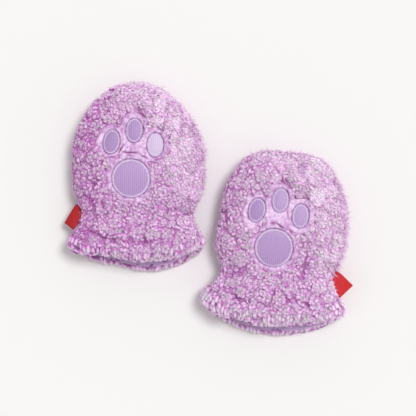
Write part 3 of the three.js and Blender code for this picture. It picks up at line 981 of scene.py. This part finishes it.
def lay_pressed(side, seed):
    """The flattened fibres round the paw's pads."""
    places, normals, random = scatter(side, "front", PRESSED_SPACING, seed)
    plan = to_plan(side, places)
    inside = pressed_at(side, "front", plan) > 0.3
    places, normals, plan = places[inside], normals[inside], plan[inside]
    count = len(places)
    aims = random.normal(size=(count, 3))
    lying = aims * 0.9 - normals * (aims * normals).sum(axis=1)[:, None] + 0.16 * normals
    frames = aimed_frames(lying, np.zeros((count, 3)), normals)
    size = random.uniform(0.6, 1.0, count)
    sizes = np.column_stack([size * 1.5, size * 1.5, size * 0.8])
    kinds = random.choice(len(FIBRES), count)
    roots = places - normals * (0.3 * MM)
    tints = random.normal(0, 1, count)
    return joined_copies(f"{side}_pressed_pile", FIBRES, kinds, frames, sizes, roots, tints)


pressed_piles = {side: lay_pressed(side, 71) for side in MITTENS}

# %% [markdown]
# ## Fleece colours
#
# The dye is an even lilac. What makes the fleece lively is depth: light that gets down between the locks
# comes back deep magenta, and the tips are nearly white. That light and shade are painted: colour follows how
# near a point is to its lock's tip, from painted shade deep down to painted light at the tip, with some locks
# paler than others, and a fine grain breaks it up. The grain is a node group, because the pile, the ground
# and the loose fibres all need it.

# %% Fibre grain group


def grain_group():
    """A node group with a fine fibrous grain: a shade and a height."""
    tree = bpy.data.node_groups.new("fibre grain", "ShaderNodeTree")
    for name, default in (("Size", 2600.0), ("Detail", 3.0)):
        tree.interface.new_socket(name, in_out="INPUT", socket_type="NodeSocketFloat").default_value = default
    for name in ("Shade", "Height"):
        tree.interface.new_socket(name, in_out="OUTPUT", socket_type="NodeSocketFloat")
    given = add(tree, "NodeGroupInput")
    place = object_place(tree)
    fine = noise(tree, place, given.outputs["Size"], given.outputs["Detail"], Roughness=0.6)
    broad = noise(tree, place, 120.0, 2.0)
    add(tree, "NodeGroupOutput", {"Shade": times_plus(tree, fine, 0.6, broad), "Height": fine})
    return tree


GRAIN = grain_group()


def grain(tree, size):
    """The grain group, placed in a material's tree."""
    return add(tree, "ShaderNodeGroup", {"Size": size}, node_tree=GRAIN)


def depth_factor(tree, grained, tint_share, grain_share, lift, scale=1.0):
    """How pale a point of the pile is: its nearness to the tip, its lock's tint and the grain."""
    with_tint = times_plus(tree, attribute(tree, "tint"), tint_share, attribute(tree, "tip"))
    with_grain = times_plus(tree, grained.outputs["Shade"], grain_share, with_tint)
    return times_plus(tree, with_grain, scale, lift * scale)


# %% Pile and fuzz materials
# The crevice colour is painted shade in creases and folds; deep to tip run from painted shade low in the pile
# to the lit tips, and the haze colour is painted light on the side facing the sun.
CREVICE_SHADE = srgb(158, 92, 154)
DEEP = srgb(192, 115, 188)
MIDDLE = srgb(215, 160, 214)
TIP = srgb(239, 195, 238)
LIT_HAZE = srgb(255, 225, 254)
FLEECE = {"Specular_IOR_Level": 0.2, "Sheen_Roughness": 0.5, "Sheen_Tint": TIP}
GLOW = {"Subsurface_Weight": 0.7, "Subsurface_Radius": (1.0, 0.8, 1.0), "Subsurface_Scale": 2.0 * MM}

PILE, tree, shader = new_material("curly pile", Roughness=0.95, Sheen_Weight=0.3, **FLEECE, **GLOW)
grained = grain(tree, 2600)
factor = depth_factor(tree, grained, 0.06, 0.25, -0.2, scale=0.6)
paint(tree, shader, factor, [(0.1, DEEP), (0.24, MIDDLE), (0.42, TIP), (0.58, TIP), (0.76, LIT_HAZE)])
bump(tree, shader, grained.outputs["Height"], 0.6, 0.25 * MM)

FUZZ, tree, shader = new_material("loose fibres", Roughness=0.9, Sheen_Weight=0.4, **FLEECE)
factor = depth_factor(tree, grain(tree, 900), 0.05, 0.2, -0.05)
paint(tree, shader, factor, [(0.1, DEEP), (0.45, MIDDLE), (0.8, TIP), (1.0, srgb(246, 216, 244))])

PRESSED, tree, shader = new_material("pressed fibres", Roughness=0.85, Sheen_Weight=0.4, Sheen_Roughness=0.4)
factor = depth_factor(tree, grain(tree, 900), 0.08, 0.3, -0.05)
flattened = [(0.1, srgb(196, 150, 198)), (0.5, srgb(222, 188, 226)), (1.0, srgb(238, 212, 241))]
paint(tree, shader, factor, flattened)

GROUND, tree, shader = new_material("fleece ground", Roughness=0.95, Sheen_Weight=0.2, **FLEECE)
grained = grain(tree, 1400)
place = object_place(tree)
# Painted curls: pale cells with painted shade at their edges, paler as painted light on the combed side
curls = add(tree, "ShaderNodeTexVoronoi", {"Vector": place, "Scale": 480.0}, feature="DISTANCE_TO_EDGE")
under = ramp(tree, curls.outputs["Distance"], [(0.0, DEEP), (0.12, MIDDLE), (0.4, TIP)])
paler = ramp(tree, curls.outputs["Distance"], [(0.0, TIP), (0.3, LIT_HAZE)])
open_and_lit_ground = mixed(tree, attribute(tree, "combed_and_lit"), under, paler)
mottle = {0: noise(tree, place, 420.0, 3.0), 1: grained.outputs["Shade"]}
mottled = add(tree, "ShaderNodeMath", mottle, operation="MULTIPLY").outputs[0]
felted = [(0.24, srgb(190, 138, 192)), (0.36, srgb(218, 178, 221)), (0.52, srgb(240, 213, 243))]
over = ramp(tree, mottled, felted)
blend = mixed(tree, attribute(tree, "pressed"), open_and_lit_ground, over)
# Painted shade: where the shade mark is high, the ground goes to the dark crevice colour.
tree.links.new(mixed(tree, attribute(tree, "shade"), blend, CREVICE_SHADE), shader.inputs["Base Color"])
bump(tree, shader, grained.outputs["Height"], 0.7, 0.4 * MM)

for kin, cloth in ((piles, PILE), (fuzz, FUZZ), (pressed_piles, PRESSED), (grounds, GROUND)):
    for piece in kin.values():
        piece.data.materials.append(cloth)

# %% [markdown]
# ## The paw's pads
#
# Each pad is a disc of fine ribbed satin over a thin wad, so it crowns softly. The solid has that crown in
# flat facets. A subdivision surface would round them but keeps their fan of creases, so a smooth surface is
# fitted to the crown and a disc in rings is laid over it. The ribs run along the mitten.

# %% Pads
RIB = 1.3
RIB_WAVER = 0.35
PAD_INSET = 0.3
PAD_EDGE = 0.9
PAD_SIDE = 0.9
GROOVE = {"inside": 2.1, "wide": 0.35, "deep": 0.22}
PAD_TONES = {
    "": (srgb(166, 130, 184), srgb(194, 164, 211)),
    "pale": (srgb(190, 163, 206), srgb(224, 203, 231)),
    "deep": (srgb(155, 119, 175), srgb(184, 153, 203)),
}
# The left third toe is painted paler, a painted highlight where its satin nap catches the light.
TONED_PADS = {"left_toe_3": "pale", "left_toe_1": "deep", "left_toe_2": "deep", "right_toe_1": "deep"}


def ribs(tree, across, apart, rise, thread):
    """The height of ribs this many millimetres apart, with a thread's grain added."""
    phase = add(tree, "ShaderNodeMath", {0: across, 1: 2 * math.pi / (apart * MM)}, operation="MULTIPLY")
    wave = add(tree, "ShaderNodeMath", {0: phase.outputs[0]}, operation="SINE")
    return times_plus(tree, wave.outputs[0], rise, thread)


def pad_cloth(side, tone):
    """Ribbed satin whose ribs run along this mitten."""
    name = f"ribbed satin, {side} {tone}".strip()
    made, tree, shader = new_material(name, Roughness=0.5, Sheen_Weight=0.3, Sheen_Roughness=0.35)
    turn = (0, 0, math.radians(MITTENS[side]["turn"]))
    mapping = add(tree, "ShaderNodeMapping", {"Vector": object_place(tree), "Rotation": turn})
    place = mapping.outputs["Vector"]
    axes = add(tree, "ShaderNodeSeparateXYZ", {0: place})
    shifted = times_plus(tree, noise(tree, place, 260.0, 2.0), RIB_WAVER * MM, axes.outputs["X"])
    height = ribs(tree, shifted, RIB, 0.17, noise(tree, place, 2400.0, 2.0))
    dark, light = PAD_TONES[tone]
    paint(tree, shader, height, [(0.15, dark), (0.85, light)])
    bump(tree, shader, height, 0.5, 0.12 * MM)
    return made


def crown_terms(plan):
    """The terms of a smooth surface in across and along."""
    x, y = plan[:, 0] / 10, plan[:, 1] / 10
    return np.column_stack([x ** i * y ** j for i in range(5) for j in range(5 - i)])


def pad_crown(side, pad):
    """The smooth surface that fits the top of a pad's solid best."""
    work = merged_copy(f"{side}_{pad}")
    tops = [item for item in [*work.verts, *work.faces] if item.normal.z > 0.7]
    places = [item.co if isinstance(item, bmesh.types.BMVert) else item.calc_center_median() for item in tops]
    plan = to_plan(side, np.array(places))
    work.free()
    plan = plan[outside_pad(side, pad, plan) < -0.9]
    return np.linalg.lstsq(crown_terms(plan), plan[:, 2], rcond=1e-6)[0]


def on_pad(side, pad, angles, inside):
    """Places on a pad's top at angles round its middle, this many millimetres inside its edge."""
    middle = OUTLINES[side, pad][0]
    out = edge_at(side, pad, angles) - PAD_INSET - inside
    flat = np.column_stack([middle[0] + out * np.cos(angles), middle[1] + out * np.sin(angles)])
    near = np.clip(1 - inside / PAD_EDGE, 0, 1)
    drop = PAD_EDGE * (1 - np.sqrt(1 - near ** 2))
    drop = drop + GROOVE["deep"] * np.exp(-(((inside - GROOVE["inside"]) / GROOVE["wide"]) ** 2))
    return from_plan(side, np.column_stack([flat, crown_terms(flat) @ CROWNS[side, pad] - drop]))


def dressed_pad(side, pad):
    """A disc in rings over the solid's crown, with a rounded edge that goes down into the fleece."""
    work = bmesh.new()
    bmesh.ops.create_circle(work, segments=72, radius=1, cap_ends=True, cap_tris=True)
    spokes = [edge for edge in work.edges if not edge.is_boundary]
    bmesh.ops.subdivide_edges(work, edges=spokes, cuts=11)
    flat = np.array([vert.co for vert in work.verts])
    share = np.sin(np.clip(np.hypot(*flat[:, :2].T), 0, 1) * math.pi / 2)
    angles = np.arctan2(flat[:, 1], flat[:, 0])
    edge_out = edge_at(side, pad, angles) - PAD_INSET
    for vert, place in zip(work.verts, on_pad(side, pad, angles, edge_out * (1 - share))):
        vert.co = place
    border = [edge for edge in work.edges if edge.is_boundary]
    down = bmesh.ops.extrude_edge_only(work, edges=border)["geom"]
    for vert in down:
        if isinstance(vert, bmesh.types.BMVert):
            vert.co.z -= PAD_SIDE * MM
    bmesh.ops.holes_fill(work, edges=work.edges, sides=0)
    bmesh.ops.recalc_face_normals(work, faces=work.faces)
    made = piece_from(f"{side}_{pad}_cloth", work)
    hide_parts(f"{side}_{pad}")
    return made


CROWNS = {(side, pad): pad_crown(side, pad) for side, pad in OUTLINES}
cloths = {(side, tone): pad_cloth(side, tone) for side in MITTENS for tone in PAD_TONES}
pads = {}
for side in MITTENS:
    for pad in ("pad", *TOES):
        made = dressed_pad(side, pad)
        tone = TONED_PADS.get(f"{side}_{pad}", "")
        made.data.materials.append(cloths[side, tone])
        pads[side, pad] = made
print("pads:", len(pads))

# %% [markdown]
# ## Stitched rims
#
# A close zigzag in shiny thread holds each pad's edge down, one stitch beside the other all the way round.
# A ring with a bump would do from afar. Single stitches catch the light one by one, so each is a little
# rounded bar, laid across the edge and copied round it.

# %% Rims
STITCH_STEP = 0.46
STITCH_INSIDE = {"pad": 0.8, "toe_1": 0.6, "toe_2": 0.6, "toe_3": 0.6}


def stitch_bar(long, thick, sag):
    """One stitch: a rounded bar along x, whose ends go down into the cloth."""
    work = bmesh.new()
    bmesh.ops.create_uvsphere(work, u_segments=6, v_segments=4, radius=thick)
    bmesh.ops.rotate(work, verts=work.verts, matrix=Matrix.Rotation(math.radians(90), 3, "Y"))
    bmesh.ops.scale(work, verts=work.verts, vec=(long / (2 * thick), 1, 1))
    for vert in work.verts:
        vert.co.z -= sag * (2 * vert.co.x / long) ** 2
    return template(work)


STITCHES = {"pad": stitch_bar(1.9, 0.26, 0.4)} | {toe: stitch_bar(1.4, 0.24, 0.3) for toe in TOES}


def rim_points(side, pad):
    """Places on the pad's edge, evenly apart, and the way outwards at each."""
    turns = np.linspace(-math.pi, math.pi, 361)
    ring = on_pad(side, pad, turns, STITCH_INSIDE[pad])
    run = np.concatenate([[0], np.cumsum(np.linalg.norm(np.diff(ring, axis=0), axis=1))])
    count = round(run[-1] / (STITCH_STEP * MM))
    at = np.arange(count) / count * run[-1]
    places = np.column_stack([np.interp(at, run, ring[:, axis]) for axis in range(3)])
    outward = places - ring.mean(axis=0)
    outward[:, 2] = 0
    return places, outward / np.linalg.norm(outward, axis=1)[:, None]


def stitched_rim(side, pad, seed):
    """The zigzag round one pad, as one piece."""
    seats, outward = rim_points(side, pad)
    random = np.random.default_rng(seed)
    count = len(seats)
    up = np.tile([0.0, 0.0, 1.0], (count, 1)) + 0.42 * outward
    frames = aimed_frames(up, 0.04 * random.normal(size=(count, 3)), outward)
    sizes = np.column_stack([random.uniform(0.93, 1.07, count), np.ones(count), np.ones(count)])
    tints = random.normal(0, 1, count)
    kinds, seats = np.zeros(count, int), seats + [0, 0, 0.02 * MM]
    return joined_copies(f"{side}_{pad}_rim", [STITCHES[pad]], kinds, frames, sizes, seats, tints)


THREAD, tree, shader = new_material("satin thread", Roughness=0.38, Sheen_Weight=0.25, Sheen_Roughness=0.3)
factor = times_plus(tree, attribute(tree, "tint"), 0.2, 0.5)
paint(tree, shader, factor, [(0.0, srgb(205, 180, 218)), (1.0, srgb(238, 220, 244))])
bump(tree, shader, grain(tree, 3000).outputs["Height"], 0.3, 0.1 * MM)

rims = {}
for number, (side, pad) in enumerate(pads):
    rims[side, pad] = stitched_rim(side, pad, 91 + number)
    rims[side, pad].data.materials.append(THREAD)

# %% [markdown]
# ## The lining
#
# The bag inside is a smooth knit, a deeper lavender in the mouth's shade. It is caught to the fleece at the
# hem, where it puckers a little, so the shell gets low waves that fade away from the hem.

# %% Lining
PUCKER = 0.28
PUCKER_APART = 5.2
PUCKER_FADE = 7


def lining_cloth(side, panel):
    """A lining shell from its solid, with its puckers along the hem."""
    work = merged_copy(f"{side}_lining_{panel}")
    bmesh.ops.subdivide_edges(work, edges=work.edges, cuts=1, use_grid_fill=True)
    work.normal_update()
    places = np.array([vert.co for vert in work.verts])
    plan = to_plan(side, places)
    from_hem = plan[:, 1] - MITTENS[side]["hem"] - hem_edge(side, plan)
    fade = np.exp(-np.clip(from_hem, 0, None) / PUCKER_FADE)
    phase = plan[:, 0] * 2 * math.pi / PUCKER_APART + 1.3 * np.sin(plan[:, 0] / 7)
    for vert, rise in zip(work.verts, np.sin(phase) * fade * PUCKER / 2):
        vert.co.z += rise * MM
    made = piece_from(f"{side}_lining_{panel}_cloth", work)
    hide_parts(f"{side}_lining_{panel}")
    return made


KNIT, tree, shader = new_material("smooth knit", Roughness=0.75, Sheen_Weight=0.25, Sheen_Roughness=0.4)
place = object_place(tree)
axes = add(tree, "ShaderNodeSeparateXYZ", {0: place})
height = ribs(tree, axes.outputs["X"], 0.7, 0.2, noise(tree, place, 1800.0, 3.0))
paint(tree, shader, height, [(0.2, srgb(192, 158, 208)), (0.85, srgb(230, 202, 240))])
bump(tree, shader, height, 0.4, 0.12 * MM)

linings = {(side, panel): lining_cloth(side, panel) for side, panel in PANELS}
for made in linings.values():
    made.data.materials.append(KNIT)
print("linings:", len(linings))

# %% [markdown]
# ## The side labels
#
# A red woven tape is folded in two and caught in the side seam, so its fold is the free edge. The solid is
# the pressed tab. Its faces at the root and at the two cut edges come off, which leaves the tape's outer
# side going round the fold, and Solidify gives it its thickness inwards.

# %% Labels
TAPE_THICK = 0.42
TAPE_TONES_AND_SHADE = {"left": (srgb(150, 2, 14), srgb(192, 10, 22)), "right": (srgb(178, 6, 20), srgb(222, 20, 32))}
LABEL_OUT, LABEL_ALONG = 0.88, -0.48


def label_cloth(side):
    """The folded tape from the label's solid: its two layers and the fold between them."""
    work = merged_copy(f"{side}_label")
    out_way = Vector(direction_from_plan(side, LABEL_OUT * MITTENS[side]["outer"], LABEL_ALONG, 0))
    edges = [face for face in work.faces if abs(face.normal.z) < 0.7 and face.normal.dot(out_way) < 0.7]
    bmesh.ops.delete(work, geom=edges, context="FACES")
    made = piece_from(f"{side}_label_tape", work)
    round_off = made.modifiers.new("round", "SUBSURF")
    round_off.levels = round_off.render_levels = 2
    wall = made.modifiers.new("wall", "SOLIDIFY")
    wall.thickness = TAPE_THICK * MM
    wall.offset = -1
    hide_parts(f"{side}_label")
    return made


def tape_cloth(side):
    """Red woven tape; the left one is painted a little deeper, as painted shade:
    it lies low, in the mitten's own shadow.
    """
    made, tree, shader = new_material(f"woven tape {side}", Roughness=0.6, Sheen_Roughness=0.4)
    weave = noise(tree, object_place(tree), 2600.0, 2.0)
    dark, light = TAPE_TONES_AND_SHADE[side]
    paint(tree, shader, weave, [(0.3, dark), (0.7, light)])
    bump(tree, shader, weave, 0.5, 0.15 * MM)
    return made


labels = {side: label_cloth(side) for side in MITTENS}
for side, made in labels.items():
    made.data.materials.append(tape_cloth(side))
print("labels:", len(labels))

# %% [markdown]
# ## The pieces on the body
#
# Every piece rides on the one rigid body.

for key, shell in grounds.items():
    side, panel = key
    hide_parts(f"{side}_{panel}")
    extras = [piles[key], fuzz[key]]
    if panel == "front":
        extras.append(pressed_piles[side])
    for piece in (shell, *extras):
        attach(piece, "root")

for (side, panel), cloth in linings.items():
    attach(cloth, "root")

for key, cloth in pads.items():
    for piece in (cloth, rims[key]):
        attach(piece, "root")

for side, tape in labels.items():
    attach(tape, "root")

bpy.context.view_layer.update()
shown = [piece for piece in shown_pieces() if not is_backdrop(piece)]
print("pieces:", len(shown), "triangles:", sum(len(piece.data.polygons) for piece in shown))
